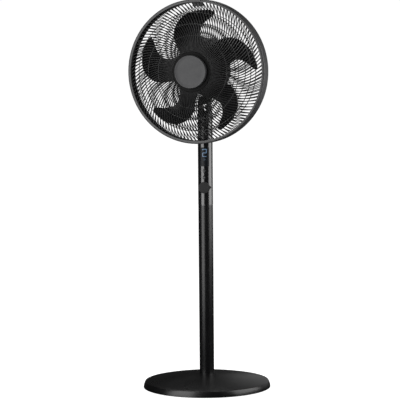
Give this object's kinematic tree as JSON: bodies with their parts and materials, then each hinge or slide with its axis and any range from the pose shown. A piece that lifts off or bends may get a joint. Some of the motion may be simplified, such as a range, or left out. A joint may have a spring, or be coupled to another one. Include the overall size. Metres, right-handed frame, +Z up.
{
  "type": "pedestal fan",
  "caption": "Round-based floor fan: slim pole with display, keys and dial, caged axial blades on a head that oscillates and tilts.",
  "frame": {"origin": "centre of the base on the floor plane, under the pole", "axes": "+Z up along the pole, -Y towards the front of the control column, +X to the viewer's right; the head rests turned 12.3 degrees towards -X"},
  "size_m": [0.4476, 0.409, 1.2339],
  "materials": {
    "base_plastic": "semi-gloss black",
    "ballast_iron": "raw",
    "under_plastic": "matte black",
    "rubber": "matte",
    "screw_steel": "zinc plated",
    "black_screw": "blackened",
    "socket_steel": "plain",
    "pole_paint": "satin black",
    "column_plastic": "gloss black",
    "window": "polished smoked",
    "module": "white",
    "board": "green laminate",
    "switch_plastic": "matte",
    "wire_sheath": "matte",
    "key_plastic": "gloss black",
    "dial_plastic": "matte dark grey",
    "shaft_steel": "ground",
    "motor_can": "plain",
    "acetal": "natural",
    "housing_plastic": "fine matte black",
    "cast_alloy": "cast",
    "bearing_steel": "polished",
    "lamination": "laminated",
    "copper": "enamelled",
    "capacitor_case": "moulded",
    "guard_steel": "satin black",
    "guard_plate": "satin black",
    "cap_plastic": "satin graphite",
    "band_plastic": "satin graphite",
    "blade_plastic": "glossy black"
  },
  "bodies": {
    "stand": {"base_cover": "base_plastic", "base_ballast": "ballast_iron", "base_bottom_plate": "under_plastic", "foot_ring": "rubber", "base_screws": "screw_steel", "pole_socket": "socket_steel", "lower_pole": "pole_paint", "pole_set_screws": "black_screw", "cord_gland": "rubber", "terminal_block": "switch_plastic", "supply_wire": "wire_sheath", "joint_sleeve": "socket_steel", "column_front": "column_plastic", "column_rear": "column_plastic", "column_screws": "screw_steel", "display_window": "window", "display_module": "module", "control_board": "board", "tact_switches": "switch_plastic", "dial_encoder": "switch_plastic", "pan_bearing_plate": "acetal", "osc_motor": "motor_can"},
    "power_key": {"power_button": "key_plastic"},
    "mode_key": {"mode_button": "key_plastic"},
    "selector": {"dial": "dial_plastic", "dial_shaft": "shaft_steel"},
    "pinion": {"osc_pinion": "acetal"},
    "neck": {"neck_yoke": "housing_plastic", "pan_gear": "acetal", "pan_spindle": "shaft_steel", "pan_washers": "acetal", "tilt_bolt": "screw_steel", "tilt_washers": "acetal"},
    "head": {"tilt_bracket": "housing_plastic", "head_screws": "screw_steel", "motor_front_cover": "housing_plastic", "motor_rear_cover": "housing_plastic", "carry_handle": "housing_plastic", "motor_bells": "cast_alloy", "motor_bearings": "bearing_steel", "stator_core": "lamination", "stator_windings": "copper", "motor_capacitor": "capacitor_case", "rear_guard_hub": "guard_plate", "guard_nut": "housing_plastic", "rear_guard_wires": "guard_steel", "guard_rings": "guard_steel", "guard_rims": "guard_steel", "front_guard_wires": "guard_steel", "front_guard_hub": "guard_plate", "front_cap": "cap_plastic", "guard_band": "band_plastic", "guard_clips": "band_plastic", "latch_pin": "screw_steel"},
    "latch": {"guard_latch": "band_plastic"},
    "rotor": {"rotor_shaft": "shaft_steel", "rotor_core": "lamination", "fan_blade": "blade_plastic", "spinner_nut": "blade_plastic"}
  },
  "joints": [
    {"name": "power_press", "type": "slide", "parent": "stand", "child": "power_key", "axis": [0, 1, 0], "range_m": [0, 0.0008], "stiffness_N_per_m": 1200, "springref_m": -0.0004},
    {"name": "mode_press", "type": "slide", "parent": "stand", "child": "mode_key", "axis": [0, 1, 0], "range_m": [0, 0.0008], "stiffness_N_per_m": 1200, "springref_m": -0.0004},
    {"name": "dial_turn", "type": "hinge", "parent": "stand", "child": "selector", "pos_m": [0, -0.03, 0.642], "axis": [0, -1, 0], "range_deg": [-45, 225]},
    {"name": "oscillate", "type": "hinge", "parent": "stand", "child": "neck", "pos_m": [0, 0, 0.866], "axis": [0, 0, 1], "range_deg": [-27.7, 52.3]},
    {"name": "pinion_spin", "type": "hinge", "parent": "stand", "child": "pinion", "pos_m": [0, 0.0154, 0.866], "axis": [0, 0, 1], "range_deg": [-135, 75]},
    {"name": "tilt", "type": "hinge", "parent": "neck", "child": "head", "pos_m": [0, 0, 0.915], "axis": [0.977, -0.213, 0], "range_deg": [-25, 7]},
    {"name": "blade_spin", "type": "hinge", "parent": "head", "child": "rotor", "pos_m": [0, 0, 1.007], "axis": [-0.213, -0.977, 0], "continuous": true},
    {"name": "latch_open", "type": "hinge", "parent": "head", "child": "latch", "pos_m": [-0.01321, -0.06058, 1.2257], "axis": [-0.977, 0.213, 0], "range_deg": [0, 55]}
  ],
  "couplings": [
    {"joint": "pinion_spin", "follows": "oscillate", "ratio": -2.5}
  ]
}
